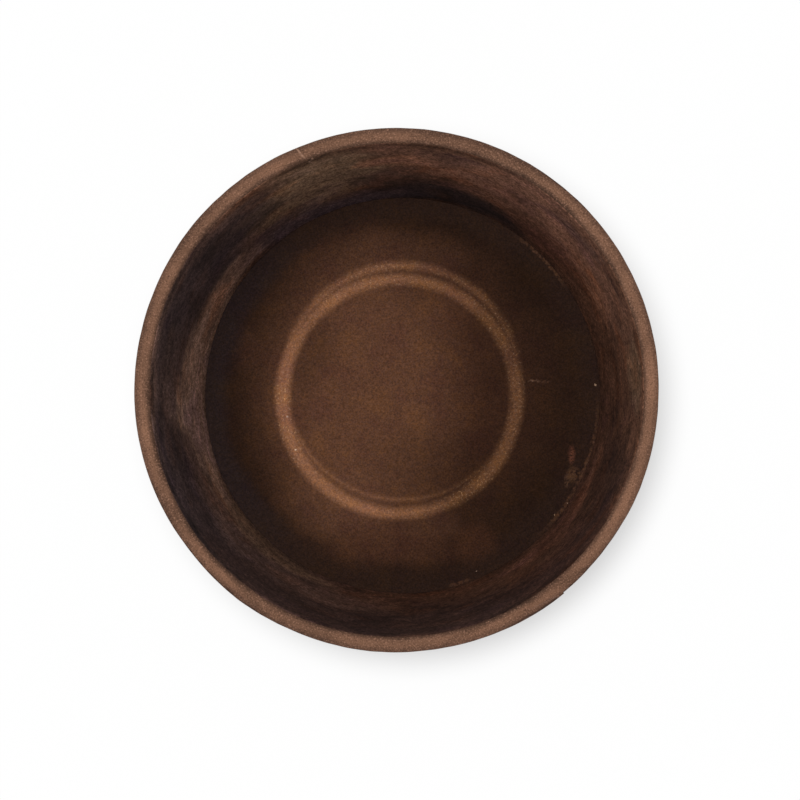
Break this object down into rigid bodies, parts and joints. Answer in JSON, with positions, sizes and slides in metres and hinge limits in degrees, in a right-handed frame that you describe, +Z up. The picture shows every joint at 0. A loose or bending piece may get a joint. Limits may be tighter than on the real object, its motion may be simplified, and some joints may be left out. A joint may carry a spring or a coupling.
{
  "type": "plant pot",
  "caption": "Round tapered cover pot laminated from thick dark-stained leather, with a plain flat rim, scarfed wall plies, an inset floor disc and a flat sole it stands on.",
  "frame": {"origin": "centre of the flat underside that the pot stands on", "axes": "+Z up along the pot's axis of revolution towards the open rim; +X to the right and +Y towards the top of the picture, which looks almost straight down into the pot"},
  "size_m": [0.1648, 0.1648, 0.13],
  "materials": {
    "outer_wall_leather": "dark brown hand-rubbed stain, low waxed sheen, burnished cut edges",
    "inner_wall_leather": "dark brown stain brushed on round the wall, matt",
    "floor_leather": "warm brown stain, matt fine grain, rubbed paler where an inner pot stood",
    "sole_leather": "mid brown stain, matt, lightly scuffed"
  },
  "bodies": {
    "root": {"outer_wall": "outer_wall_leather", "inner_wall": "inner_wall_leather", "floor_disc": "floor_leather", "sole_disc": "sole_leather"}
  },
  "joints": []
}
